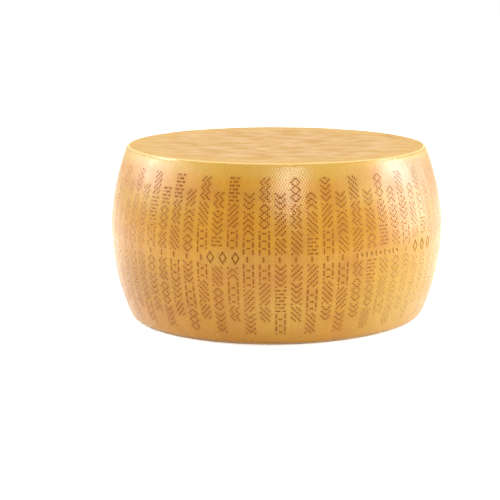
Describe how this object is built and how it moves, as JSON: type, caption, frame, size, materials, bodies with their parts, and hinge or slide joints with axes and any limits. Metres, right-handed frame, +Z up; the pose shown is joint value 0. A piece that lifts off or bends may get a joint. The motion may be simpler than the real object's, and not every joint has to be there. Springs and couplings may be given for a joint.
{
  "type": "wheel of aged grating cheese",
  "caption": "Whole round wheel of hard, aged grating cheese, a low barrel with flat faces, rounded rims and a pressed pattern of dots and marks round its side.",
  "frame": {"origin": "middle of the flat base, on the surface that the wheel rests on", "axes": "+Z up along the wheel's axis, -Y towards the front that the picture shows, +X to the right of that view"},
  "size_m": [0.4505, 0.4478, 0.2321],
  "materials": {
    "aged_rind": "hard oiled cheese rind, satin"
  },
  "bodies": {
    "root": {"cheese_wheel": "aged_rind"}
  },
  "joints": []
}
